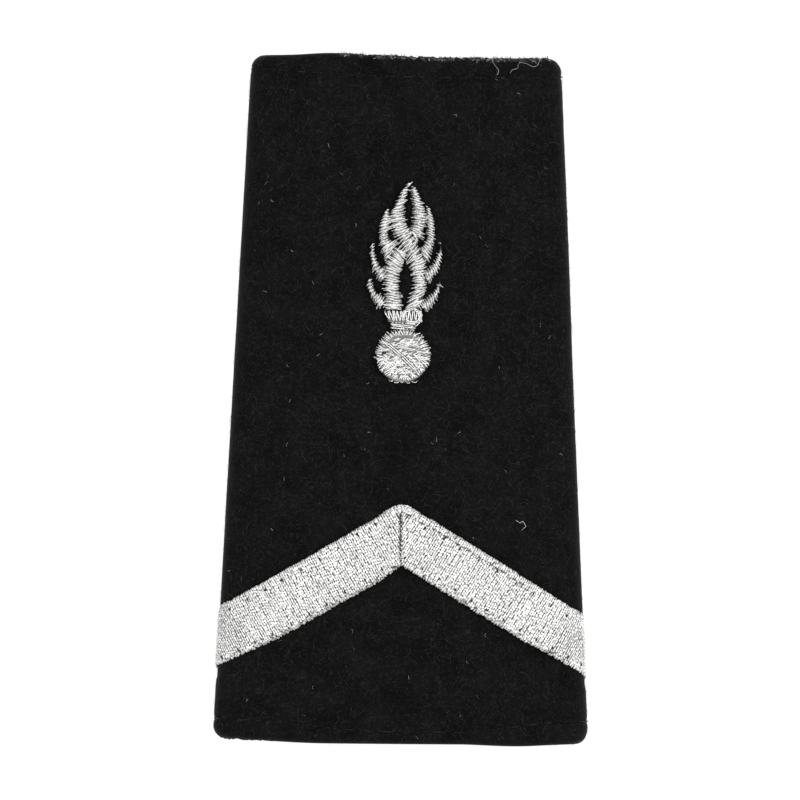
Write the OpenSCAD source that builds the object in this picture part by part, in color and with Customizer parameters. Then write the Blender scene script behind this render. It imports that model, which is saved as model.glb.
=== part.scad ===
// Slip-on shoulder board: a tapered felt sleeve with an embroidered chevron and flaming grenade.
// X runs to the right, Y towards the narrow mouth at the collar, Z out of the embroidered front.
// The sleeve lies on its back on z = 0, with the origin under its middle. Lengths are in mm.

/* [Sleeve] */
// Length of the sleeve from mouth to mouth
sleeve_len = 110; // [95:1:125]
// Width of the wide mouth, at the shoulder's end
wide_w = 60.2; // [56:0.2:66]
// Width of the narrow mouth, at the collar's end
narrow_w = 49.4; // [46:0.2:56]
// Height of the front's crown above the back
sleeve_h = 9.4; // [9:0.1:12]
// Outer radius of the two side folds
fold_r = 3; // [2.6:0.1:3.6]
// Thickness of the felt
felt_t = 1.1; // [0.9:0.05:1.15]
// How deep the felt is turned in at each mouth
hem_depth = 5; // [4:0.5:8]
// Radius of the four corners, seen from above
corner_r = 2.2; // [1.6:0.1:4]

/* [Embroidery] */
// Clearance between the felt and the padding on it
pad_clear = 0.1; // [0.08:0.01:0.15]
// Height of a padding's edge above its foot
pad_edge_h = 0.25; // [0.15:0.05:0.35]
// Height of the chevron's padding on the front
bar_h = 0.65; // [0.5:0.05:0.8]
// Height of the chevron's padding where it wraps round a side fold
bar_fold_h = 0.12; // [0.1:0.01:0.25]
// Height of the flames' padding
flame_pad_h = 0.8; // [0.6:0.05:1]
// Clearance between one padding and the next
pad_space = 0.15; // [0.1:0.01:0.2]

/* [Chevron] */
// Place above the wide mouth where the bars' upper edges would meet in a sharp point
chevron_up = 38.7; // [34:0.1:42]
// Width of a bar, square across it
bar_w = 8.6; // [7:0.1:10]
// Slope of the left bar, in degrees
left_angle = 29.6; // [26:0.1:34]
// Slope of the right bar, in degrees
right_angle = 31.4; // [26:0.1:34]
// How far the left bar sags below a straight line from the point
left_sag = 0.5; // [0:0.1:1]
// Rounding of the upper point
point_round = 0.8; // [0.2:0.1:1.2]
// How far a bar wraps round the side fold, in degrees from the top
wrap_angle = 125; // [105:1:130]

/* [Grenade] */
// Place of the ball's centre above the wide mouth
ball_up = 61.8; // [58:0.1:66]
// Diameter of the ball
ball_d = 8.6; // [7.6:0.1:9.6]
// Width of the raised ring round the ball
ring_w = 1.45; // [1.2:0.05:1.8]
// Height of the raised ring
ring_h = 0.85; // [0.7:0.05:1]
// Height of the filling inside the ring
fill_h = 0.6; // [0.45:0.05:0.65]
// Width of the collar's upper row
collar_w = 5.9; // [5:0.1:6.5]
// Width of the collar's lower row
neck_w = 3.9; // [3.2:0.1:4.5]
// Length of the collar's upper row, along the sleeve
collar_len = 1.85; // [1.4:0.05:2.2]
// Length of the collar's lower row
neck_len = 1.1; // [0.8:0.05:1.4]
// Height of the collar's padding
collar_h = 0.6; // [0.5:0.05:0.8]

/* [Flames] */
// Length of the flames from the collar to their tip
flame_len = 20.3; // [18:0.1:22]
// Width over the two outer flamelets
flame_spread = 11.6; // [10.6:0.1:13]
// Full width of a long tongue
tongue_w = 2.6; // [2.3:0.05:2.9]
// Full width of a flamelet
flamelet_w = 1.6; // [1.4:0.05:1.8]

/* [Hidden] */

felt_colour = [0.09, 0.09, 0.09];
silver_colour = [0.88, 0.88, 0.86];

// Steps round the sleeve's section: flat back, each side fold, front
back_steps = 4;
side_steps = 8;
front_steps = 20;
// Steps along the sleeve's outer face, along half of its inner face, round a mouth's edge and
// round a corner
body_steps = 12;
inner_steps = 3;
edge_steps = 6;
corner_steps = 3;
// Sides of the turned ball
ball_sides = 48;
// How far the collar's upper row narrows on each side towards the ball, as a share of its length
collar_taper = 0.25;
// Where the ring's inner slope meets the filling, as a share of the ring's width, and the angle
// round the ring's dome there
ring_foot = 0.85;
ring_foot_angle = 135;
// Length of the slope at the turned-in felt's end
hem_slope = 0.4;

// Steps along a bar on the front and on the fold, along a flame, and round a dome
bar_front_steps = 12;
bar_fold_steps = 8;
flame_steps = 20;
dome_steps = 6;
// Narrowest ring that a flame's end keeps, as a share of a tongue's width
thin_share = 0.12;
// Width of the rounding at a bar's long edges, and the height of its padding there, as shares
bar_edge_w = 1;
BAR_EDGE = [
    // in from the edge, height
    [0.00, 0.35],
    [0.25, 0.70],
    [1.00, 1.00],
];
// How far ahead of the fold a bar's padding starts to thin, and how far from the seam a sag is full
bar_thin_len = 4;
sag_len = 5;

thin_w = tongue_w * thin_share;
mouth_y = sleeve_len / 2;
chevron_y = chevron_up - mouth_y;
ball_y = ball_up - mouth_y;
neck_y = ball_y + ball_d / 2 + pad_space;
collar_y = neck_y + neck_len;
flame_y = collar_y + collar_len + pad_space;

// The flames, from root to tip. Up is a share of flame_len, side a share of half of flame_spread to
// the right of the middle, and wide a share of tongue_w or flamelet_w.
OVER = [
    // up, side, wide
    [0.00, 0.26, 0.86],
    [0.06, 0.31, 0.86],
    [0.12, 0.41, 0.74],
    [0.20, 0.45, 0.68],
    [0.28, 0.40, 0.80],
    [0.37, 0.39, 0.86],
    [0.45, 0.27, 0.94],
    [0.53, 0.11, 0.98],
    [0.63, -0.07, 0.94],
    [0.71, -0.18, 0.92],
    [0.78, -0.18, 0.70],
    [0.86, -0.07, 0.55],
    [0.94, 0.02, 0.38],
    [1.00, 0.17, 0.14],
];
UNDER = [
    // up, side, wide
    [0.00, -0.27, 0.98],
    [0.08, -0.27, 0.92],
    [0.16, -0.32, 0.76],
    [0.26, -0.32, 0.82],
    [0.36, -0.24, 1.04],
    [0.45, -0.08, 1.04],
    [0.53, 0.15, 0.95],
    [0.60, 0.32, 0.84],
    [0.68, 0.43, 0.74],
    [0.76, 0.43, 0.72],
    [0.84, 0.37, 0.48],
    [0.92, 0.31, 0.36],
    [0.98, 0.24, 0.14],
];
LEFT_UPPER = [
    // up, side, wide
    [0.40, -0.34, 1.20],
    [0.45, -0.34, 1.60],
    [0.50, -0.38, 1.75],
    [0.54, -0.50, 1.20],
    [0.60, -0.55, 0.95],
    [0.68, -0.53, 0.90],
    [0.75, -0.49, 0.50],
    [0.80, -0.46, 0.16],
];
LEFT_MIDDLE = [
    // up, side, wide
    [0.24, -0.52, 1.00],
    [0.28, -0.58, 1.00],
    [0.33, -0.72, 0.85],
    [0.38, -0.80, 0.60],
    [0.46, -0.86, 0.45],
    [0.53, -0.85, 0.15],
];
LEFT_LOWER = [
    // up, side, wide
    [0.03, -0.56, 1.10],
    [0.08, -0.68, 0.85],
    [0.13, -0.82, 0.70],
    [0.18, -0.92, 0.62],
    [0.22, -0.93, 0.40],
    [0.25, -0.89, 0.16],
];
RIGHT_UPPER = [
    // up, side, wide
    [0.39, 0.52, 1.10],
    [0.45, 0.56, 1.10],
    [0.51, 0.66, 1.05],
    [0.57, 0.73, 0.80],
    [0.66, 0.74, 0.66],
    [0.75, 0.70, 0.46],
    [0.82, 0.65, 0.16],
];
RIGHT_MIDDLE = [
    // up, side, wide
    [0.23, 0.54, 1.05],
    [0.27, 0.66, 1.05],
    [0.31, 0.82, 0.85],
    [0.36, 0.91, 0.60],
    [0.45, 1.00, 0.40],
    [0.53, 1.01, 0.15],
];
RIGHT_LOWER = [
    // up, side, wide
    [0.01, 0.50, 1.10],
    [0.05, 0.66, 0.95],
    [0.10, 0.82, 0.65],
    [0.16, 0.93, 0.48],
    [0.20, 0.98, 0.36],
    [0.24, 0.99, 0.15],
];

// Half width of the straight sides at a place along the sleeve
function side_at(y) = (wide_w + (narrow_w - wide_w) * (y / sleeve_len + 0.5)) / 2;

// What a rounding of radius r at a mouth takes off the side at a place along the sleeve
function round_off(y, r) =
    let(past = max(0, abs(y) - mouth_y + r)) r - sqrt(max(0, r ^ 2 - past ^ 2));

// Half width of the section: the corner's rounding less what the folded edge takes off by itself
function half_w(y) = side_at(y) - max(0, round_off(y, corner_r) - round_off(y, felt_t));

// Radius of the front's arc, which meets both side folds smoothly, and half its angle
function front_r(a) =
    let(flat = a - fold_r, up = sleeve_h - fold_r)
    (flat ^ 2 + up ^ 2 - fold_r ^ 2) / (2 * (up - fold_r));
function front_angle(a) = asin((a - fold_r) / (front_r(a) - fold_r));

// Point at an angle from the top on the front's arc, and on the right or left side fold
function on_front(a, y, turn, out) =
    let(r = front_r(a)) [(r + out) * sin(turn), y, sleeve_h - r + (r + out) * cos(turn)];
function on_fold(a, y, turn, out) =
    let(r = fold_r + out) [sign(turn) * (a - fold_r) + r * sin(turn), y, fold_r + r * cos(turn)];

// Length of cloth from the front's middle round to an angle on a side fold
function cloth_to(y, turn) =
    let(a = half_w(y), half = front_angle(a))
    (front_r(a) * half + fold_r * (turn - half)) * PI / 180;

// Point on the cloth at a length s from the front's middle, lifted by out
function on_cloth(s, y, out) =
    let(a = half_w(y), half = front_angle(a), arc = cloth_to(y, half))
    abs(s) <= arc ? on_front(a, y, s / front_r(a) * 180 / PI, out)
        : on_fold(a, y, sign(s) * (half + (abs(s) - arc) / fold_r * 180 / PI), out);

// Closed ring of points round the sleeve, inset from its outer face
function section(y, inset) =
    let(a = half_w(y), flat = a - fold_r, half = front_angle(a))
    concat(
        [for (i = [0 : back_steps - 1]) [flat * (2 * i / back_steps - 1), y, inset]],
        [for (i = [0 : side_steps - 1]) on_fold(a, y, 180 + (half - 180) * i / side_steps, -inset)],
        [for (i = [0 : front_steps - 1]) on_front(a, y, half * (1 - 2 * i / front_steps), -inset)],
        [for (i = [0 : side_steps - 1]) on_fold(a, y, -half - (180 - half) * i / side_steps, -inset)]
    );

// Half of the stations along the felt, from the middle of the outer face round the edge of the
// narrow mouth to the middle of the inner face: place along the sleeve and inset
function half_stations() =
    let(corner_y = mouth_y - corner_r, edge_y = mouth_y - felt_t, hem_y = mouth_y - hem_depth)
    concat(
        [for (i = [0 : body_steps / 2]) [corner_y * 2 * i / body_steps, 0]],
        [for (i = [1 : corner_steps - 1]) [corner_y + (edge_y - corner_y) * i / corner_steps, 0]],
        [for (i = [0 : edge_steps]) let(turn = 180 * i / edge_steps)
            [edge_y + felt_t * sin(turn), felt_t * (1 - cos(turn))]],
        [[corner_y, 2 * felt_t], [hem_y, 2 * felt_t], [hem_y - hem_slope, felt_t]],
        [for (i = [inner_steps - 1 : -1 : 1]) [(hem_y - hem_slope) * i / inner_steps, felt_t]]
    );

// All stations: the other half mirrors the first, backwards
function stations() =
    let(half = half_stations(), last = len(half) - 1)
    concat(half, [[0, felt_t]], [for (i = [last : -1 : 1]) [-half[i][0], half[i][1]]]);

// Triangles between rings of points, looped back to the first ring or closed by flat ends
function ring_faces(rings, sides, looped) =
    let(last = looped ? rings - 1 : rings - 2)
    concat(
        [for (i = [0 : last], j = [0 : sides - 1], half = [0, 1])
            let(a = i * sides, b = (i + 1) % rings * sides, k = (j + 1) % sides)
            half == 0 ? [a + j, b + j, b + k] : [a + j, b + k, a + k]],
        looped ? [] : [[for (j = [0 : sides - 1]) j],
            [for (j = [sides - 1 : -1 : 0]) (rings - 1) * sides + j]]
    );

module skin(rings, looped) {
    polyhedron([for (ring = rings) each ring], ring_faces(len(rings), len(rings[0]), looped));
}

module sleeve() {
    color(felt_colour) skin([for (s = stations()) section(s[0], s[1])], true);
}

// Smooth step from 0 to 1
function ease(u) = let(v = min(1, max(0, u))) v ^ 2 * (3 - 2 * v);

// One bar as rings across it, from the seam in the middle round the side fold. side is 1 or -1.
module bar(side, slope, sag) {
    fall = tan(slope);
    tall = bar_w / cos(slope);
    end_y = chevron_y - sag - fall * cloth_to(chevron_y, wrap_angle) - tall / 2;
    arc = cloth_to(end_y, front_angle(half_w(end_y)));
    end = cloth_to(end_y, wrap_angle);
    start = pad_space / 2;
    along = concat(
        [for (i = [0 : bar_front_steps - 1]) start + (arc - start) * i / bar_front_steps],
        [for (i = [0 : bar_fold_steps]) arc + (end - arc) * i / bar_fold_steps]
    );
    rim = bar_edge_w / cos(slope);
    function upper(s) = chevron_y - sag * ease(s / sag_len) - fall * sqrt(s ^ 2 + point_round ^ 2);
    function lower(s) = chevron_y - sag * ease(s / sag_len) - fall * s - tall;
    function height(s) = bar_h + (bar_fold_h - bar_h) * ease((s - arc) / bar_thin_len + 1);
    function across(s) = let(top = upper(s), low = lower(s)) concat(
        [on_cloth(side * s, low, pad_clear), on_cloth(side * s, top, pad_clear)],
        [for (e = BAR_EDGE) on_cloth(side * s, top - rim * e[0], pad_clear + height(s) * e[1])],
        [for (i = [len(BAR_EDGE) - 1 : -1 : 0]) let(e = BAR_EDGE[i])
            on_cloth(side * s, low + rim * e[0], pad_clear + height(s) * e[1])]
    );
    rings = [for (s = along) across(s)];
    color(silver_colour) skin(side > 0 ? rings : [for (i = [len(rings) - 1 : -1 : 0]) rings[i]], false);
}

// Raised ring round a lower filling, turned about the ball's centre
module grenade_ball() {
    r = ball_d / 2;
    function ring_top(turn) = pad_edge_h + (ring_h - pad_edge_h) * sin(turn);
    foot_h = max(fill_h, ring_top(ring_foot_angle));
    color(silver_colour) translate([0, ball_y, sleeve_h + pad_clear])
        rotate_extrude($fn = ball_sides) polygon(concat(
            [[0, 0], [r, 0]],
            [for (i = [0 : dome_steps / 2]) let(turn = 180 * i / dome_steps)
                [r - ring_w / 2 * (1 - cos(turn)), ring_top(turn)]],
            [[r - ring_w * ring_foot, foot_h], [r - ring_w, fill_h], [0, fill_h]]
        ));
}

// Upper row that narrows towards the ball, and the neck's row below it
module grenade_collar() {
    neck = neck_w / 2;
    top = collar_w / 2;
    foot = top - collar_len * collar_taper;
    color(silver_colour) translate([0, 0, sleeve_h + pad_clear]) linear_extrude(collar_h) polygon([
        [-neck, neck_y], [neck, neck_y], [neck, collar_y], [foot, collar_y],
        [top, collar_y + collar_len], [-top, collar_y + collar_len], [-foot, collar_y], [-neck, collar_y]
    ]);
}

// Smooth row at a share u of the way through a table of rows
function row_at(rows, u) =
    let(n = len(rows) - 1, i = min(n - 1, floor(u * n)), f = u * n - i,
        a = rows[max(0, i - 1)], b = rows[i], c = rows[i + 1], d = rows[min(n, i + 2)])
    (2 * b + (c - a) * f + (2 * a - 5 * b + 4 * c - d) * f ^ 2 + (3 * b - a - 3 * c + d) * f ^ 3) / 2;

// A flame's outline from root to tip: place along the sleeve, left edge, right edge
function outline(rows, full_w) = [
    for (i = [0 : flame_steps])
        let(row = row_at(rows, i / flame_steps), mid = row[1] * flame_spread / 2, w = row[2] * full_w)
        [flame_y + row[0] * flame_len, mid - w / 2, mid + w / 2]
];
function edge_at(flame, y, side) = lookup(y, [for (e = flame) [e[0], e[side]]]);

// The stretch of a flame that shows on the left or the right of another one
function left_of(flame, other) = [
    for (e = flame)
        let(limit = edge_at(other, e[0], 1) - pad_space)
        if (e[1] < limit - thin_w) [e[0], e[1], min(e[2], limit)]
];
function right_of(flame, other) = [
    for (e = flame)
        let(limit = edge_at(other, e[0], 2) + pad_space)
        if (e[2] > limit + thin_w) [e[0], max(e[1], limit), e[2]]
];

// Padding under a flame: a flat foot and a dome over it, ring by ring from root to tip
module flame(edges, dome_h) {
    function domed(e, turn) = on_cloth((e[1] + e[2] + (e[2] - e[1]) * cos(turn)) / 2, e[0],
        pad_clear + pad_edge_h + (dome_h - pad_edge_h) * sin(turn));
    color(silver_colour) skin([for (e = edges) concat(
        [on_cloth(e[1], e[0], pad_clear), on_cloth(e[2], e[0], pad_clear)],
        [for (i = [0 : dome_steps]) domed(e, 180 * i / dome_steps)]
    )], false);
}

over = outline(OVER, tongue_w);
under = outline(UNDER, tongue_w);

module chevron_left() { bar(-1, left_angle, left_sag); }
module chevron_right() { bar(1, right_angle, 0); }
module flame_over() { flame(over, flame_pad_h); }
module flame_under_upper() { flame(right_of(under, over), flame_pad_h); }
module flame_under_lower() { flame(left_of(under, over), flame_pad_h); }
module flamelet_left(rows) { flame(left_of(outline(rows, flamelet_w), under), flame_pad_h); }
module flamelet_right(rows) { flame(right_of(outline(rows, flamelet_w), over), flame_pad_h); }

sleeve();
chevron_left();
chevron_right();
grenade_ball();
grenade_collar();
flame_over();
flame_under_upper();
flame_under_lower();
flamelet_left(LEFT_UPPER);  // flamelet_left_upper
flamelet_left(LEFT_MIDDLE);  // flamelet_left_middle
flamelet_left(LEFT_LOWER);  // flamelet_left_lower
flamelet_right(RIGHT_UPPER);  // flamelet_right_upper
flamelet_right(RIGHT_MIDDLE);  // flamelet_right_middle
flamelet_right(RIGHT_LOWER);  // flamelet_right_lower
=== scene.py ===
"""Slip-on shoulder board: a black felt sleeve with a silver chevron and flaming grenade sewn on its front."""

import math
import random

import bpy
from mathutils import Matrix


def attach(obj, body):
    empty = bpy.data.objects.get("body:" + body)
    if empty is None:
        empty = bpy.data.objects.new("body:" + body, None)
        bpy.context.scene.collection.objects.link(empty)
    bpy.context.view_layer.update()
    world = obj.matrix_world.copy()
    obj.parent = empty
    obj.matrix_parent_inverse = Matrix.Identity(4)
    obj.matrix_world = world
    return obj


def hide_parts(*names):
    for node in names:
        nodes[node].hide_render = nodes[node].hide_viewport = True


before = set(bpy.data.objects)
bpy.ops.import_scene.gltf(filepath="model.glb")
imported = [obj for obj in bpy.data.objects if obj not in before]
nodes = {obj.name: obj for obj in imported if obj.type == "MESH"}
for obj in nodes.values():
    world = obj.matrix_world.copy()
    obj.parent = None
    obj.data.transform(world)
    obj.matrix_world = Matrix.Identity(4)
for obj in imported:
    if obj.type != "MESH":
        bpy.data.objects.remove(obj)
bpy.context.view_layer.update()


# Felt sleeve. The real one is black wool felt, cut as one blank, folded round to a flat tapered tube,
# joined down the middle of its back and turned in at both mouths. Its front rises to a low crown.
MM = 0.001
sleeve_len = 110 * MM
wide_w = 60.2 * MM
narrow_w = 49.4 * MM
sleeve_h = 9.4 * MM
fold_r = 3 * MM
felt_t = 1.1 * MM
hem_depth = 5 * MM
corner_r = 2.2 * MM
mouth_y = sleeve_len / 2


def joins(operation, swapped=False):
    """How a wire and another term are joined by a maths node."""
    return lambda wire, other: wire.bench.maths(operation, *((other, wire) if swapped else (wire, other)))


class Wire:
    """A socket of a node tree, so that the rule for a shape or a finish reads as a formula."""

    def __init__(self, bench, socket):
        self.bench = bench
        self.socket = socket

    def __getitem__(self, name):
        return Wire(self.bench, self.socket.node.outputs[name])

    def __abs__(self):
        return self.bench.maths("ABSOLUTE", self)

    __add__, __radd__ = joins("ADD"), joins("ADD", swapped=True)
    __sub__, __rsub__ = joins("SUBTRACT"), joins("SUBTRACT", swapped=True)
    __mul__, __rmul__ = joins("MULTIPLY"), joins("MULTIPLY", swapped=True)
    __truediv__, __rtruediv__ = joins("DIVIDE"), joins("DIVIDE", swapped=True)
    __pow__ = joins("POWER")


class Bench:
    """A node tree being laid out. Every node goes in through node(), which takes the names of the tree's
    own family without their first words."""

    def __init__(self, tree):
        self.tree = tree
        self.family = tree.bl_idname.replace("Tree", "")

    def node(self, kind, sockets=(), out=0, **settings):
        made = self.tree.nodes.new(kind if "Node" in kind else self.family + kind)
        for name, value in settings.items():
            setattr(made, name, value)
        for name, value in dict(sockets).items():
            self.put(made.inputs[name], value)
        return Wire(self, made.outputs[out]) if made.outputs else made

    def put(self, socket, value):
        if isinstance(value, Wire):
            self.tree.links.new(value.socket, socket)
        elif isinstance(value, list):
            for each in reversed(value):
                self.tree.links.new(each.socket, socket)
        else:
            socket.default_value = value

    def maths(self, operation, *terms):
        return self.node("ShaderNodeMath", enumerate(terms), operation=operation)

    def limit(self, value, low, high):
        return self.maths("MINIMUM", self.maths("MAXIMUM", value, low), high)

    def smooth(self, value, low, high):
        """0 below low, 1 above high, with a smooth step between them."""
        sockets = {0: value, 1: low, 2: high}
        return self.node("ShaderNodeMapRange", sockets, interpolation_type="SMOOTHSTEP")

    def vector(self, operation, *terms, out=0):
        return self.node("ShaderNodeVectorMath", enumerate(terms), out=out, operation=operation)

    def scaled(self, vector, factor):
        return self.node("ShaderNodeVectorMath", {0: vector, 3: factor}, operation="SCALE")

    def xyz(self, x, y, z):
        return self.node("ShaderNodeCombineXYZ", {0: x, 1: y, 2: z})

    def parts(self, vector):
        split = self.node("ShaderNodeSeparateXYZ", {0: vector})
        return split["X"], split["Y"], split["Z"]

    def noise(self, place, scale, detail=2.0, roughness=0.5, out=0):
        sockets = {"Vector": place, "Scale": scale, "Detail": detail, "Roughness": roughness}
        return self.node("ShaderNodeTexNoise", sockets, out=out)

    def bump(self, height, strength, distance):
        sockets = {"Strength": strength, "Distance": distance, "Height": height}
        return self.node("ShaderNodeBump", sockets, out="Normal")

    def mark(self, name, out="Vector"):
        """What a shape keeps under a name at each point, for a finish."""
        return self.node("ShaderNodeAttribute", attribute_name=name, out=out)

    def read(self, name, kind="FLOAT"):
        """The same for a shape's own rule."""
        return self.node("InputNamedAttribute", {"Name": name}, data_type=kind)

    def store(self, shape, name, value, kind="FLOAT_VECTOR"):
        sockets = {"Geometry": shape, "Name": name, "Value": value}
        return self.node("StoreNamedAttribute", sockets, data_type=kind, domain="POINT")


def shape_bench(name, inputs, outputs):
    """An empty Geometry Nodes tree and its wires. Each input has its value, or its kind if it has none."""
    bench = Bench(bpy.data.node_groups.new(name, "GeometryNodeTree"))
    new_socket = bench.tree.interface.new_socket
    for label, value in inputs.items():
        kind = value if isinstance(value, str) else "Int" if isinstance(value, int) else "Float"
        socket = new_socket(name=label, in_out="INPUT", socket_type="NodeSocket" + kind)
        if kind != value:
            socket.default_value = value
    for label, kind in outputs.items():
        new_socket(name=label, in_out="OUTPUT", socket_type="NodeSocket" + kind)
    return bench, bench.node("NodeGroupInput"), bench.tree.nodes.new("NodeGroupOutput")


def cloth_rule():
    """Where a point of the cloth lies: a length round the girth from the front's middle, or a share of
    half the girth, a place along the sleeve, and how far out it is lifted."""
    sizes = {
        "Round": 0.0, "Share": 0.0, "Along": 0.0, "Out": 0.0, "Length": sleeve_len, "Wide": wide_w,
        "Narrow": narrow_w, "Height": sleeve_h, "Fold": fold_r, "Felt": felt_t, "Corner": corner_r,
        "Bow": 0.6 * MM, "Wave": 0.34 * MM, "Jut": 0.5 * MM, "Drop": 0.28 * MM, "Lean": 0.14 * MM,
    }
    outputs = {"Place": "Vector", "Normal": "Vector", "Half girth": "Float"}
    bench, given, result = shape_bench("cloth_rule", sizes, outputs)
    along, out, height, fold = given["Along"], given["Out"], given["Height"], given["Fold"]

    def rounded_off(radius):
        past = bench.maths("MAXIMUM", abs(along) - given["Length"] / 2 + radius, 0)
        return radius - bench.maths("SQRT", bench.maths("MAXIMUM", radius * radius - past * past, 0))

    side = (given["Wide"] + (given["Narrow"] - given["Wide"]) * (along / given["Length"] + 0.5)) / 2
    corner = bench.maths("MAXIMUM", rounded_off(given["Corner"]) - rounded_off(given["Felt"]), 0)
    flat = side - corner - fold
    up = height - fold
    front_r = (flat * flat + up * up - fold * fold) / (2 * (up - fold))
    half = bench.maths("ARCSINE", flat / (front_r - fold))
    arc = front_r * half
    half_girth = arc + fold * (math.pi - half) + flat
    place = given["Round"] + given["Share"] * half_girth
    run = abs(place)
    side_sign = bench.maths("SIGN", place)
    on_fold = bench.limit((run - arc) / fold, 0, math.pi - half)
    turn = bench.maths("MINIMUM", run / front_r, half) + on_fold
    on_back = bench.maths("MAXIMUM", run - arc - fold * (math.pi - half), 0)
    on_front = bench.maths("LESS_THAN", run, arc)
    radius = fold + on_front * (front_r - fold)
    sine, cosine = bench.maths("SINE", turn), bench.maths("COSINE", turn)
    x = side_sign * (flat * (1 - on_front) + (radius + out) * sine - on_back)
    z = fold + on_front * (height - front_r - fold) + (radius + out) * cosine
    # The lower mouth's edge stands back towards the side folds and juts out again near the right one. The
    # upper one has a hump and a dent, and runs a little lower on the right
    to_side = bench.smooth(abs(x), 12 * MM, wide_w / 2)
    bow = given["Bow"] * to_side * bench.smooth(0 - along, 41 * MM, mouth_y)
    hump = bench.maths("EXPONENT", 0 - ((x + 12 * MM) / (4.5 * MM)) ** 2)
    dent = bench.maths("EXPONENT", 0 - ((x - 6 * MM) / (7 * MM)) ** 2)
    bow = bow + given["Wave"] * (hump - dent) * bench.smooth(along, 47 * MM, mouth_y)
    jut = bench.smooth(x, 9.5 * MM, 21 * MM) * bench.smooth(0 - along, 52.5 * MM, mouth_y)
    drop = bench.smooth(x, 7 * MM, 17 * MM) * bench.smooth(along, 50 * MM, mouth_y)
    bow = bow - given["Jut"] * jut - given["Drop"] * drop
    # The right side stands out a little, most of all higher up
    lean = given["Lean"] * bench.smooth(x, 10 * MM, 22 * MM) * (1 + bench.smooth(along, 0, 30 * MM))
    bench.put(result.inputs["Place"], bench.xyz(x + lean, along + bow, z))
    bench.put(result.inputs["Normal"], bench.xyz(side_sign * sine, 0, cosine))
    bench.put(result.inputs["Half girth"], half_girth)
    return bench.tree


cloth = cloth_rule()


def ease(value, low=0, high=1):
    """Bench.smooth on plain numbers."""
    share = min(1, max(0, (value - low) / (high - low)))
    return share * share * (3 - 2 * share)


def hem_lines(x, smooth):
    """Place along the sleeve of the upper and the lower row of hem stitches, which were sewn by hand and
    wander across the width. It takes plain numbers with ease, or wires with Bench.smooth."""
    upper = 51.65 * MM + 1.1 * MM * smooth(0 - x, 7 * MM, 26 * MM) + 0.3 * MM * smooth(x, 19 * MM, 25 * MM)
    dip = smooth(x, -24 * MM, -1 * MM) * smooth(0 - x, -26 * MM, -8 * MM)
    return upper, -51.75 * MM - 1.25 * MM * dip


def section_at(y):
    """Flat half of the back, radius of the front's arc and half its angle, as cloth_rule has them."""
    flat = (wide_w + (narrow_w - wide_w) * (y / sleeve_len + 0.5)) / 2 - fold_r
    up = sleeve_h - fold_r
    front_r = (flat**2 + up**2 - fold_r**2) / (2 * (up - fold_r))
    return flat, front_r, math.asin(flat / (front_r - fold_r))


def length_to(y, turn):
    """Length round the cloth from the front's middle to a turn on the side fold."""
    _, front_r, half = section_at(y)
    return front_r * half + fold_r * (turn - half)


def half_girth(y):
    return length_to(y, math.pi) + section_at(y)[0]


def across_at(s, y):
    """Sideways place of a length round the cloth."""
    flat, front_r, half = section_at(y)
    run = abs(s)
    if run < front_r * half:
        return front_r * math.sin(s / front_r)
    if run < length_to(y, math.pi):
        return math.copysign(flat + fold_r * math.sin(half + (run - front_r * half) / fold_r), s)
    return math.copysign(flat - (run - length_to(y, math.pi)), s)


def frayed_part(bench, at, along):
    """1 where a mouth's edge is frayed: most of the upper one, and the left corner of the lower one."""
    top = bench.maths("GREATER_THAN", along, 0)
    part = top * bench.smooth(at, -14 * MM, -10 * MM) + (1 - top) * bench.smooth(0 - at, 19 * MM, 22 * MM)
    return part * (1 - bench.smooth(abs(at), 36 * MM, 48 * MM))


def paddings(bench):
    """The CAD pieces that are sewn on, as one shape."""
    pads = [nodes[name] for name in sorted(nodes) if name != "sleeve"]
    shapes = [bench.node("ObjectInfo", {"Object": pad}, out="Geometry") for pad in pads]
    return bench.node("JoinGeometry", {0: shapes})


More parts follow.
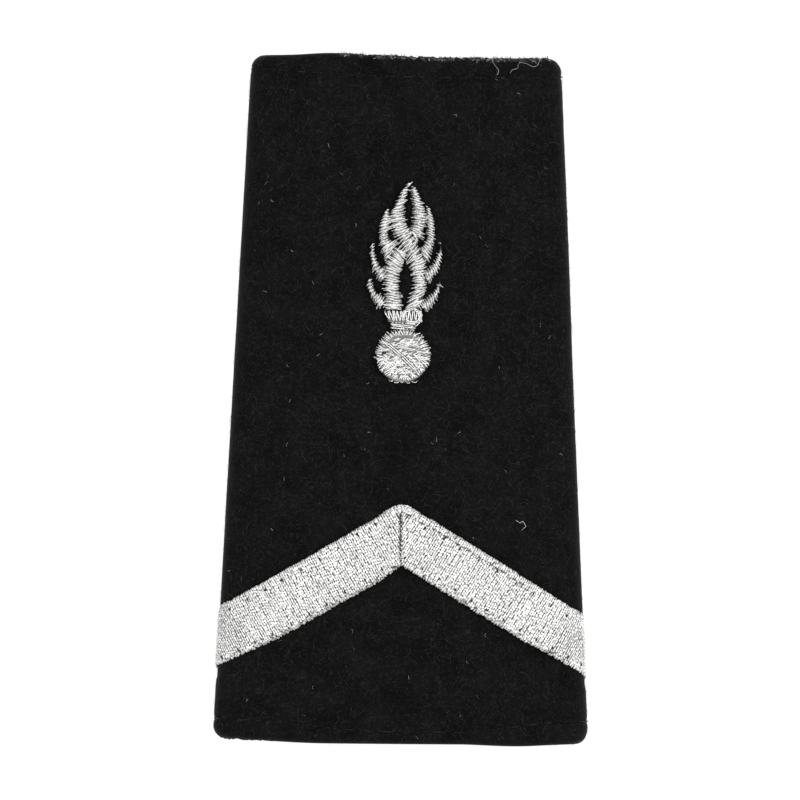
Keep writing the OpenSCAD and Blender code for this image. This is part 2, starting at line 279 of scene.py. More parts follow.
def sleeve_shape():
    """Rows of the grid run along the felt, from the outer face round a mouth's edge, back along the
    turned-in hem and down its cut end to the inner face, and the same way to the other mouth."""
    inputs = {
        "Columns": 320, "Outer rows": 104, "Edge rows": 10, "Hem rows": 6, "Step rows": 3,
        "Inner rows": 8, "Hem": hem_depth, "Hollows": 0.09 * MM, "Pull": 0.16 * MM,
        "Pull reach": 0.7 * MM, "Stitch pull": 0.22 * MM, "Seam depth": 0.3 * MM, "Fray": 1.5 * MM,
        "Material": "Material",
    }
    bench, given, result = shape_bench("sleeve_shape", inputs, {"Sleeve": "Geometry"})
    counts = [given[name + " rows"] for name in ("Outer", "Edge", "Hem", "Step", "Inner")]
    half_rows = sum(counts[1:], counts[0])
    columns, rows = given["Columns"] + 1, 2 * half_rows + 1
    grid = bench.node("MeshGrid", {"Size X": 1, "Size Y": 1, "Vertices X": columns, "Vertices Y": rows})
    across, along, _ = bench.parts(bench.node("InputPosition"))
    row = abs(along) * 2 * half_rows
    # How far along each stretch of the felt a row lies, from the middle of the outer face onwards
    shares, start = [], 0
    for count in counts:
        shares.append(bench.limit((row - start) / count, 0, 1))
        start = count + start
    outer, edge, hem, step, inner = shares
    edge_y, hem_y, slope = mouth_y - felt_t, mouth_y - given["Hem"], 0.4 * MM
    turn = edge * math.pi
    y = edge_y * outer + felt_t * bench.maths("SINE", turn)
    y = y - (edge_y - hem_y) * hem - slope * step - (hem_y - slope) * inner
    at = across * 2 * half_girth(0)
    tufts = bench.noise(bench.xyz(at, along, 0), 1300, 2) - 0.5
    y = y + given["Fray"] * tufts * frayed_part(bench, at, along) * bench.smooth(outer, 0.985, 1) * (1 - hem)
    y = y * bench.maths("SIGN", along)
    depth = felt_t * (1 - bench.maths("COSINE", turn)) - felt_t * bench.smooth(step, 0, 1)
    laid = bench.node("Group", {"Share": across * 2, "Along": y, "Out": 0 - depth}, node_tree=cloth)
    place, normal = laid["Place"], laid["Normal"]
    x = bench.parts(place)[0]
    # The outer face sinks beside the embroidery, under the hem's stitches and at the seam
    outside = 1 - bench.limit(edge * 2, 0, 1)
    near = bench.node("Proximity", {"Geometry": paddings(bench), "Sample Position": place}, out="Distance")
    pull = given["Pull"] * (1 - bench.smooth(near, 0, given["Pull reach"]))
    hollows = given["Hollows"] * (bench.noise(place, 110, 3) + bench.noise(place, 900, 2) * 0.6)
    groove_w, seam_w = 0.4 * MM, 0.3 * MM
    off_line = bench.maths("MINIMUM", *[abs(y - line) for line in hem_lines(x, bench.smooth)]) / groove_w
    beat = 0.6 + 0.4 * bench.noise(place, 600, 0)
    groove = given["Stitch pull"] * bench.maths("EXPONENT", 0 - off_line * off_line) * beat
    on_back = bench.smooth(0 - bench.parts(normal)[2], 0.9, 0.99)
    seam = given["Seam depth"] * on_back * bench.maths("EXPONENT", 0 - (x / seam_w) ** 2)
    lowered = (hollows + pull + groove + seam) * outside
    moved = bench.vector("SUBTRACT", place, bench.scaled(normal, lowered))
    shape = bench.node("SetPosition", {"Geometry": grid, "Position": moved})
    shape = bench.node("MergeByDistance", {"Geometry": shape, "Distance": 0.004 * MM})
    shape = bench.node("SetShadeSmooth", {"Geometry": shape})
    shape = bench.node("SetMaterial", {"Geometry": shape, "Material": given["Material"]})
    bench.put(result.inputs["Sleeve"], bench.node("RealizeInstances", {"Geometry": shape}))
    return bench.tree


def placed(name, data):
    """An object of the scene, at the origin."""
    thing = bpy.data.objects.new(name, data)
    bpy.context.scene.collection.objects.link(thing)
    return thing


def grown(name, tree, base=None, **values):
    """The plain mesh that a Geometry Nodes tree makes, as an object at the origin."""
    holder = placed(name + "_growing", base or bpy.data.meshes.new(name))
    modifier = holder.modifiers.new("grow", "NODES")
    modifier.node_group = tree
    sockets = {s.name: s.identifier for s in tree.interface.items_tree if s.in_out == "INPUT"}
    for label, value in values.items():
        modifier[sockets[label.replace("_", " ")]] = value
    depsgraph = bpy.context.evaluated_depsgraph_get()
    mesh = bpy.data.meshes.new_from_object(holder.evaluated_get(depsgraph), depsgraph=depsgraph)
    mesh.name = name
    bpy.data.objects.remove(holder)
    return placed(name, mesh)


pieces = []


def put_on(piece, node=None):
    """Hangs a finished piece on the root body, and hides the CAD node that it replaces, if any."""
    if node:
        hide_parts(node)
    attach(piece, "root")
    pieces.append(piece)
    return piece


def finish_bench(name, roughness, specular):
    """An empty material with its shader, and its bench."""
    material = bpy.data.materials.new(name)
    material.use_nodes = True
    material.node_tree.nodes.clear()
    bench = Bench(material.node_tree)
    shader = bench.tree.nodes.new("ShaderNodeBsdfPrincipled")
    shader.inputs["Roughness"].default_value = roughness
    shader.inputs["Specular IOR Level"].default_value = specular
    bench.node("OutputMaterial", {"Surface": Wire(bench, shader.outputs[0])})
    return material, bench, shader


def felt_finish():
    """Near-black milled wool: clumps, a tangle of faint curled fibres, pale specks and a soft nap."""
    material, bench, shader = finish_bench("black_felt", roughness=0.95, specular=0.02)
    shader.inputs["Sheen Weight"].default_value = 0.11
    shader.inputs["Sheen Roughness"].default_value = 0.4
    place = bench.node("TexCoord", out="Object")
    x, y, z = bench.parts(place)
    sway_x, sway_y, _ = bench.parts(bench.noise(place, 420, 1, out="Color"))
    x, y = x + (sway_x - 0.5) * 1.6 * MM, y + (sway_y - 0.5) * 1.6 * MM
    tone = 0.0023 + 0.0025 * bench.smooth(bench.noise(place, 260, 3, 0.6), 0.25, 0.75)
    for layer in range(6):
        turn = math.radians(17 + 30 * layer)
        onward = x * math.cos(turn) + y * math.sin(turn)
        sideways = y * math.cos(turn) - x * math.sin(turn)
        streak = bench.noise(bench.xyz(onward * 900, sideways * 5200, z * 3000 + 9 * layer), 1, 1, 0.6)
        tone = tone + 0.007 * bench.smooth(streak, 0.6, 0.78)
    tone = tone + 0.02 * (1 - bench.smooth(bench.noise(place, 3000, 1), 0.17, 0.26))
    bench.put(shader.inputs["Base Color"], bench.xyz(tone, tone, tone * 0.985))
    nap = bench.noise(place, 3200, 3, 0.7) + bench.noise(place, 900, 3, 0.6)
    bench.put(shader.inputs["Normal"], bench.bump(nap, 0.6, 0.16 * MM))
    return material


sleeve = put_on(grown("felt_sleeve", sleeve_shape(), Material=felt_finish()), "sleeve")


# Hems and back seam. Each turned-in mouth is held by one row of running stitches in dark thread, sunk in
# the felt, and the blank's two edges meet down the middle of the back under a row of whipped stitches.
def thread_rule():
    """Lays runs of thread, given flat on the cloth, over the paddings: each point is mapped to the cloth,
    lifted to whatever lies there, and the strand's twisted, oval section is swept along it."""
    inputs = {
        "Runs": "Geometry", "Padding": "Object", "Holes": "Object", "Step": 0.18 * MM, "Sides": 6,
        "Oval": 0.58, "Taper": 0.0, "Twist": 0.95 * MM, "Bead": 0.62 * MM, "Dip": 0.0,
        "Stray": 0.06 * MM, "Stray size": 1.1 * MM, "Press": 0.3 * MM, "Reach": 3 * MM, "Seed": 0.0,
        "Sunk": 0.0, "Thread": "Material", "Under": "Material",
    }
    bench, given, result = shape_bench("thread_rule", inputs, {"Stitches": "Geometry"})
    read, store = bench.read, bench.store
    runs = bench.node("MeshToCurve", {"Mesh": given["Runs"]})
    runs = bench.node("ResampleCurve", {"Curve": runs, "Length": given["Step"]}, mode="LENGTH")
    place = bench.node("InputPosition")
    flat_x, flat_y, lift = bench.parts(place)
    drift = bench.vector("ADD", place, bench.xyz(read("tint") * 7, given["Seed"], 0))
    stray_x, stray_y, stray_z = bench.parts(bench.noise(drift, 1 / given["Stray size"], 1, out="Color"))
    flat_x = flat_x + (stray_x - 0.5) * 3 * given["Stray"]
    flat_y = flat_y + (stray_y - 0.5) * 3 * given["Stray"]
    flat_place = bench.xyz(flat_x, flat_y, 0)
    # A strand near a needle's hole is pressed in, and marked to be painted dark as the shade and felt in the
    # hole
    holes = bench.node("ObjectInfo", {"Object": given["Holes"]}, out="Geometry")
    nearest = bench.node("SampleNearest", {"Geometry": holes, "Sample Position": flat_place})
    sample = {"Geometry": holes, "Value": place, "Index": nearest}
    hole_x, hole_y, hole_size = bench.parts(bench.node("SampleIndex", sample, data_type="FLOAT_VECTOR"))
    gap = bench.vector("DISTANCE", flat_place, bench.xyz(hole_x, hole_y, 0), out="Value")
    hole = 1 - bench.smooth(gap / bench.maths("MAXIMUM", hole_size, 0.000001), 0.5, 1.3)
    lift = lift + (stray_z - 0.5) * 2 * given["Stray"] - hole * given["Press"]
    runs = store(runs, "flat", bench.xyz(flat_x, flat_y, hole))
    runs = store(runs, "lift", lift, "FLOAT")
    flat_x, flat_y, hole = bench.parts(read("flat", "FLOAT_VECTOR"))
    # How high the paddings lie there, found by a ray from above and evened out along the strand
    above = bench.node("Group", {"Round": flat_x, "Along": flat_y, "Out": given["Reach"]}, node_tree=cloth)
    aim = {"Source Position": above["Place"], "Ray Direction": bench.scaled(above["Normal"], -1.0)}
    aim |= {"Target Geometry": paddings(bench), "Ray Length": given["Reach"]}
    ray = bench.node("Raycast", aim)
    runs = store(runs, "lies", ray["Is Hit"] * (given["Reach"] - ray["Hit Distance"]), "FLOAT")
    eased = bench.node("BlurAttribute", {"Value": read("lies"), "Iterations": 2}, data_type="FLOAT")
    out = bench.maths("MAXIMUM", read("lies"), eased) + read("lift")
    laid = bench.node("Group", {"Round": flat_x, "Along": flat_y, "Out": out}, node_tree=cloth)
    runs = store(runs, "square", laid["Normal"])
    length = bench.node("SplineParameter")["Length"]
    runs = store(runs, "yarn", bench.xyz(length, read("tint"), 0))
    uneven = bench.noise(bench.xyz(length / (1.6 * MM), read("tint") * 53, given["Seed"]), 1, 1)
    spacing = given["Bead"] * (0.8 + 0.4 * bench.maths("FRACT", read("tint") * 37))
    beat = (length / spacing + uneven * 2.6 + read("tint") * 19) * (2 * math.pi)
    runs = store(runs, "bead", 0.5 + 0.5 * bench.maths("COSINE", beat), "FLOAT")
    runs = bench.node("SetPosition", {"Geometry": runs, "Position": laid["Place"]})
    length, tint, _ = bench.parts(read("yarn", "FLOAT_VECTOR"))
    # The section turns along the strand, and thins towards its ends and between its beads
    spin = length * (2 * math.pi) / given["Twist"] + tint * 40
    runs = bench.node("SetCurveTilt", {"Curve": runs, "Tilt": spin})
    section = bench.node("CurvePrimitiveCircle", {"Resolution": given["Sides"], "Radius": 1})
    section = bench.node("Transform", {"Geometry": section, "Scale": bench.xyz(1, given["Oval"], 1)})
    to_end = bench.maths("MINIMUM", length, bench.node("SplineLength") - length)
    slim = 1 - given["Taper"] * (1 - bench.smooth(to_end, 0.1 * MM, 0.75 * MM))
    slim = slim * (1 - given["Dip"] * (1 - read("bead")))
    sweep = {"Curve": runs, "Profile Curve": section, "Scale": read("thick") * slim, "Fill Caps": True}
    strands = bench.node("CurveToMesh", sweep)
    normal = bench.node("InputNormal")
    # How far each face of a strand turns up from the cloth, which sets its painted shade
    facing = bench.vector("DOT_PRODUCT", normal, read("square", "FLOAT_VECTOR"), out="Value")
    length, tint, _ = bench.parts(read("yarn", "FLOAT_VECTOR"))
    strands = store(strands, "yarn", bench.xyz(length, tint, facing))
    strands = bench.node("SetShadeSmooth", {"Geometry": strands})
    strands = bench.node("SetMaterial", {"Geometry": strands, "Material": given["Thread"]})
    # The padding shows between the strands, in a finish painted dark as the shade in the gaps
    under = bench.node("ObjectInfo", {"Object": given["Padding"]}, out="Geometry")
    under = bench.node("MergeByDistance", {"Geometry": under, "Distance": 0.002 * MM})
    inward = bench.scaled(normal, 0 - given["Sunk"])
    under = bench.node("SetPosition", {"Geometry": under, "Offset": inward})
    # How far the padding's faces turn up, which sets the painted shade at its rims
    under = store(under, "yarn", bench.xyz(0, 0, bench.parts(normal)[2]))
    under = bench.node("SetMaterial", {"Geometry": under, "Material": given["Under"]})
    both = bench.node("JoinGeometry", {0: [strands, under]})
    bench.put(result.inputs["Stitches"], bench.node("RealizeInstances", {"Geometry": both}))
    return bench.tree


thread_tree = thread_rule()


def sewn(name, runs, thread, padding=None, under=None, holes=(), **values):
    """Stitches as one plain mesh. A run is (points, radius), its points (round, along, lift) in flat cloth;
    a hole is (round, along, radius), where a needle left a dot, painted dark as the shade and felt in it."""
    points, edges, thick, tint = [], [], [], []
    rng = random.Random(name)
    for line, radius in runs:
        first, mark = len(points), rng.random()
        points += line
        edges += [(n, n + 1) for n in range(first, len(points) - 1)]
        thick += [radius] * len(line)
        tint += [mark] * len(line)
    flat = bpy.data.meshes.new(name + "_flat")
    flat.from_pydata(points, edges, [])
    for label, data in (("thick", thick), ("tint", tint)):
        flat.attributes.new(label, "FLOAT", "POINT").data.foreach_set("value", data)
    dots = bpy.data.meshes.new(name + "_holes")
    dots.from_pydata(list(holes) or [(1, 1, 0)], [], [])
    marks = placed(name + "_holes", dots)
    given = {"Padding": padding, "Holes": marks, "Thread": thread, "Under": under}
    piece = grown(name, thread_tree, flat, **given, **values)
    bpy.data.objects.remove(marks)
    return piece


def thread_finish(
    name, light, dark, fleck, beads=0.0, mottle=0.0, shade=0.0, crest=(0.05, 0.8), gloss=0.4
):
    """Spun thread: bright along its top, with painted shade down its sides, between its beads and at needle
    holes, and flecked. Crest is how far a face turns up where it leaves the dark tone of the painted shade,
    and where it reaches the light one. Shade is how much painted shade darkens the threads that lie under
    others."""
    material, bench, shader = finish_bench(name, roughness=0.45, specular=gloss)
    length, tint, facing = bench.parts(bench.mark("yarn"))
    _, _, hole = bench.parts(bench.mark("flat"))
    bead = bench.mark("bead", "Fac")
    place = bench.node("TexCoord", out="Object")
    ply = bench.noise(bench.xyz(length / (0.5 * MM), tint * 61, facing * 0.3), 1, 1)
    cloud = bench.noise(place, 330, 2)
    spots = bench.noise(place, 2300, 1, 0.6)
    # Painted shade: faces that turn away from the cloth's face, down a strand's sides, get the dark tone
    value = dark + (light - dark) * bench.smooth(facing, *crest)
    value = value * (1 - fleck * bench.smooth(ply, 0.53, 0.44))
    # Painted shade in the dips between beads
    value = value * (1 - beads * (1 - bench.smooth(bead, 0.05, 0.6)))
    value = value * (1 - mottle * bench.smooth(spots, 0.52, 0.4))
    value = value * (0.9 + 0.2 * cloud) * (0.93 + 0.1 * tint)
    # Painted near black at needle holes and grooves, as the shade and the felt in them
    value = value * (1 - 0.96 * hole)
    # Painted shade on threads that lie low, under others
    if shade:
        lift = bench.mark("lift", "Fac")
        value = value * (1 - shade * (1 - bench.smooth(lift, -0.07 * MM, 0.05 * MM)))
    bench.put(shader.inputs["Base Color"], bench.xyz(value, value, value * 0.985))
    fibres = bench.noise(bench.xyz(length / (0.9 * MM), tint * 61, facing * 5), 1, 2)
    bench.put(shader.inputs["Normal"], bench.bump(fibres, 0.5, 0.03 * MM))
    return material


hem_thread = thread_finish("hem_thread", light=0.018, dark=0.006, fleck=0.6, gloss=0.05)
seam_rng = random.Random(3)
stitch_pitch = 2.92 * MM
seam_runs = []
for row, end in enumerate((mouth_y, -mouth_y)):
    s = 0.56 * MM - math.floor(half_girth(0) / stitch_pitch) * stitch_pitch
    while s < half_girth(end) - 1.2 * MM:
        half_long = seam_rng.uniform(0.65, 0.95) * MM
        sunk = seam_rng.uniform(-0.28, -0.08)
        tilt = seam_rng.uniform(-0.08, 0.08)
        middle = s + seam_rng.uniform(-0.15, 0.15) * MM
        line = []
        # Both ends dive into the felt
        for share, lift in ((-1.1, -0.4), (-0.92, sunk), (-0.4, sunk + 0.07), (0.4, sunk + 0.07),
                            (0.92, sunk), (1.1, -0.4)):
            at = middle + share * half_long
            level = hem_lines(across_at(at, 0.94 * end), ease)[row]
            line.append((at, level + tilt * share * half_long, lift * MM))
        seam_runs.append((line, seam_rng.uniform(0.09, 0.14) * MM))
        s += stitch_pitch
y = 2.5 * MM - mouth_y
while y < mouth_y - 4 * MM:
    middle = half_girth(y)
    reach = seam_rng.uniform(0.85, 1.15) * MM
    line = []
    for share, lift in ((-1.1, -0.5), (-0.95, -0.17), (-0.4, -0.1), (0.0, -0.13), (0.4, -0.1), (0.95, -0.17),
                        (1.1, -0.5)):
        line.append((middle + share * reach, y + 0.55 * share * reach, lift * MM))
    seam_runs.append((line, seam_rng.uniform(0.13, 0.16) * MM))
    y += seam_rng.uniform(1.9, 2.3) * MM
put_on(sewn("hem_and_seam_stitches", seam_runs, hem_thread, Oval=0.8, Stray=0.02 * MM))


# Loose wool on the felt: curled fibres that lie on its faces, shorter ones near the mouths, and a fringe of
# short ones where the upper mouth's edge is frayed. A few pale hairs of lint lie on the front.
def fibre_rule():
    """Bent fibres scattered over a band of the cloth that starts at the mouths: everywhere in it, or only
    where the upper mouth's edge is frayed."""
    inputs = {
        "Count": 4600.0, "Band": mouth_y, "Shortest": 0.5 * MM, "Longest": 3.2 * MM, "Curl": 2.6,
        "Rise": 0.08 * MM, "Radius": 0.017 * MM, "Points": 7, "Seed": 5, "Everywhere": 1.0,
        "Material": "Material",
    }
    bench, given, result = shape_bench("fibre_rule", inputs, {"Fibres": "Geometry"})

    def draw(low, high, salt):
        sockets = {0: low, 1: high, 8: given["Seed"] + salt}
        return bench.node("FunctionNodeRandomValue", sockets, data_type="FLOAT_VECTOR")

    roots = {
        "Mesh": bench.node("MeshGrid", {"Size X": 2, "Size Y": sleeve_len}),
        "Density": given["Count"] / (2 * sleeve_len),
        "Seed": given["Seed"],
    }
    roots = bench.node("DistributePointsOnFaces", roots, out="Points")
    share, along, _ = bench.parts(bench.node("InputPosition"))
    in_band = mouth_y - given["Band"] * (1 - abs(along) / mouth_y)
    tone, _, _ = bench.parts(draw((0, 0, 0), (1, 1, 1), 1))
    roots = bench.store(roots, "root", bench.xyz(share, in_band * bench.maths("SIGN", along), tone))
    roots = bench.store(roots, "way", draw((0, 0, -1), (2 * math.pi, 1, 1), 2))
    straight = bench.node("CurvePrimitiveLine", {"End": (1, 0, 0)})
    straight = bench.node("ResampleCurve", {"Curve": straight, "Count": given["Points"]})
    share, along, tone = bench.parts(bench.read("root", "FLOAT_VECTOR"))
    at = share * half_girth(0)
    clumps = bench.maths("GREATER_THAN", bench.noise(bench.xyz(at, along, 0), 800, 2), 0.47)
    clumps = clumps * bench.maths("GREATER_THAN", along, 0)
    kept = bench.maths("ROUND", frayed_part(bench, at, along)) * clumps + given["Everywhere"]
    fibres = bench.node("InstanceOnPoints", {"Points": roots, "Instance": straight, "Selection": kept})
    fibres = bench.node("RealizeInstances", {"Geometry": fibres})
    angle, size, curl = bench.parts(bench.read("way", "FLOAT_VECTOR"))
    part = bench.node("SplineParameter")["Factor"]
    # The palest fibres are short
    long = size * size * (1 - 0.9 * bench.smooth(tone, 0.94, 0.95))
    near_mouth = bench.smooth(abs(along), mouth_y - 3.5 * MM, mouth_y)
    long = long * (1 - 0.75 * given["Everywhere"] * near_mouth)
    length = given["Shortest"] + (given["Longest"] - given["Shortest"]) * long
    turn = curl * given["Curl"] + 0.01
    heading = angle + turn * part
    radius = length / turn
    sideways = radius * (bench.maths("SINE", heading) - bench.maths("SINE", angle))
    onward = radius * (bench.maths("COSINE", angle) - bench.maths("COSINE", heading))
    waver = bench.noise(bench.xyz(sideways, onward, angle), 900, 1, out="Color")
    waver_x, waver_y, _ = bench.parts(waver)
    sideways = sideways + (waver_x - 0.5) * 0.5 * MM * part
    onward = along + onward + (waver_y - 0.5) * 0.5 * MM * part
    past = bench.limit(abs(onward) - mouth_y + felt_t, 0, felt_t)
    edge_drop = felt_t - bench.maths("SQRT", felt_t * felt_t - past * past)
    out = 0.03 * MM + given["Rise"] * size * part - edge_drop
    point = {"Round": sideways, "Share": share, "Along": onward, "Out": out}
    laid = bench.node("Group", point, node_tree=cloth)
    fibres = bench.node("SetPosition", {"Geometry": fibres, "Position": laid["Place"]})
    section = bench.node("CurvePrimitiveCircle", {"Resolution": 3, "Radius": 1})
    slim = given["Radius"] * (0.7 + 0.5 * tone) * (1.1 - 0.5 * part)
    sweep = {"Curve": fibres, "Profile Curve": section, "Scale": slim, "Fill Caps": True}
    fibres = bench.node("CurveToMesh", sweep)
    fibres = bench.node("SetMaterial", {"Geometry": fibres, "Material": given["Material"]})
    bench.put(result.inputs["Fibres"], bench.node("RealizeInstances", {"Geometry": fibres}))
    return bench.tree


def fibre_finish(name, dark_share):
    """Wool fibres, painted greyer than the felt as the sheen on them: a share of them dark grey, the others
    paler, as pale fibres of lint and as painted highlight on the frayed fuzz.
    """
    material, bench, shader = finish_bench(name, roughness=0.8, specular=0.2)
    _, _, tone = bench.parts(bench.mark("root"))
    # Painted sheen: the fibres are greyer than the felt; the pale share is partly pale lint and partly
    # painted highlight on the fuzz
    grey = 0.013 + 0.03 * tone + 0.45 * bench.smooth(tone, dark_share, 1.0)
    bench.put(shader.inputs["Base Color"], bench.xyz(grey, grey, grey * 0.97))
    return material


fibre_tree = fibre_rule()
felt_fibres = grown("felt_fibres", fibre_tree, Material=fibre_finish("wool_fibre", 0.955))
edge_fibres = grown(
    "mouth_edge_fibres",
    fibre_tree,
    Count=14000.0,
    Band=0.45 * MM,
    Shortest=0.2 * MM,
    Longest=0.62 * MM,
    Radius=0.042 * MM,
    Points=4,
    Seed=6,
    Everywhere=0.0,
    Material=fibre_finish("frayed_wool", 0.86),
)
# Hairs of lint by their thickness: places round and along the sleeve, in mm
lint_places = {
    0.024: [
        [(13.98, 54.83), (13.90, 54.39), (14.89, 53.00), (14.89, 52.55), (14.60, 52.04)],
        [(21.61, 54.89), (21.26, 54.07), (20.93, 53.75), (20.36, 53.59), (19.88, 53.87), (19.22, 54.19),
         (18.27, 54.37), (17.98, 53.95), (17.98, 53.41), (17.61, 53.22), (17.05, 53.07), (16.77, 52.57)],
    ],
    0.038: [[(18.22, -19.08), (18.87, -19.56), (19.36, -19.23), (19.86, -20.03), (19.21, -20.67)]],
}
lint_runs = [
    ([(s * MM, y * MM, 0.06 * MM) for s, y in hair], radius * MM)
    for radius, hairs in lint_places.items()
    for hair in hairs
]
pale_lint = thread_finish("pale_lint", light=0.75, dark=0.5, fleck=0.3)
for loose in (felt_fibres, edge_fibres, sewn("lint_hairs", lint_runs, pale_lint, Stray=0.02 * MM)):
    put_on(loose)


# Silver thread, laid in stitches. Each stitch is a real strand that rides over the padding and dives into
# the felt at its ends. The chevron's two bars are sewn square across over a flat padding, edge to edge,
# and meet in a seam at the middle.
pad_clear = 0.1 * MM
chevron_y = 38.7 * MM - mouth_y
bar_w = 8.6 * MM
point_round = 0.8 * MM
sag_len = 5 * MM
wrap = math.radians(125)
# Silver strands are painted grey down their sides and between their beads as shade; the padding between them
# is painted dark as the shade in the gaps and at its rims
silver_thread = thread_finish("silver_thread", light=1.0, dark=0.55, fleck=0.15, beads=0.32, mottle=0.3)
silver_gap_shade = thread_finish("silver_gap_shade", light=0.4, dark=0.06, fleck=0.3, crest=(0.5, 0.97))


def read_table(rows, place, column=1):
    """A column of a table at a place between its rows, whose first numbers rise."""
    if place <= rows[0][0]:
        return rows[0][column]
    for low, high in zip(rows, rows[1:]):
        if place <= high[0]:
            share = (place - low[0]) / (high[0] - low[0])
            return low[column] + (high[column] - low[column]) * share
    return rows[-1][column]


# For each bar: slope, dip of its line beside the peak, and how far its upper and lower edge stand in from
# the padding's, in mm, at lengths round the girth. Both edges turn level where the bar meets the fold.
bars = {
    -1: (
        math.radians(29.6), 0.5 * MM,
        [(7, 0), (9, 0.2), (22, 0.25), (27.5, 0.05), (29.3, -0.5), (31, -1.3), (36, -2.5)],
        [(0, 0.3), (1.2, 0), (20, 0), (27, 0.8), (29.5, 1.2), (31.4, 1.95), (36, 3.5)],
    ),
    1: (
        math.radians(31.4), 0.0,
        [(0, 0.05), (3, 0.12), (6, 0), (18, 0.1), (24, 0.22), (27.5, 0.05), (29.3, -0.4), (31, -1.15),
         (36, -2.2)],
        [(0, 0.35), (19.5, 0.3), (29.3, 1.15), (31.4, 1.6), (36, 2.6)],
    ),
}


def bar_edges(side, s, drawn=1):
    """Places along the sleeve of a bar's upper and lower edge, as drawn in or as padded."""
    slope, sag, above, below = bars[side]
    fall, line = math.tan(slope), chevron_y - sag * ease(s / sag_len)
    upper = line - fall * math.hypot(s, point_round) - drawn * read_table(above, s / MM) * MM
    return upper, line - fall * s - bar_w / math.cos(slope) + drawn * read_table(below, s / MM) * MM


def past_fold(s):
    """0 on the front, 1 where the cloth has turned into the side fold."""
    return ease((s - 23 * MM) / (5.5 * MM))


def drawn_in(node, side):
    """A bar's padding, sunk in the felt by 0.15 mm, or twice that at the fold, with its edges moved to
    where the threads end."""
    mesh = nodes[node].data.copy()
    for vertex in mesh.vertices:
        x, y, z = vertex.co
        flat, front_r, half = section_at(y)
        turn = math.atan2(abs(x) - flat, z - fold_r)
        s = length_to(y, turn)
        if turn < half:
            turn = math.atan2(abs(x), z + front_r - sleeve_h)
            s = front_r * turn
        padded, drawn = bar_edges(side, s, 0), bar_edges(side, s)
        share = min(1, max(0, (padded[0] - y) / (padded[0] - padded[1])))
        moved = (drawn[0] - padded[0] - 0.12 * MM) * (1 - share) ** 2
        y += moved + (drawn[1] - padded[1] + 0.12 * MM) * share**2
        # The sleeve is narrower higher up
        x *= section_at(y)[0] / flat
        sunk = (0.15 + 0.15 * ease((s - 29 * MM) / (3 * MM))) * MM
        vertex.co = x - side * sunk * math.sin(turn), y, z - sunk * math.cos(turn)
    return placed(node + "_padding", mesh)


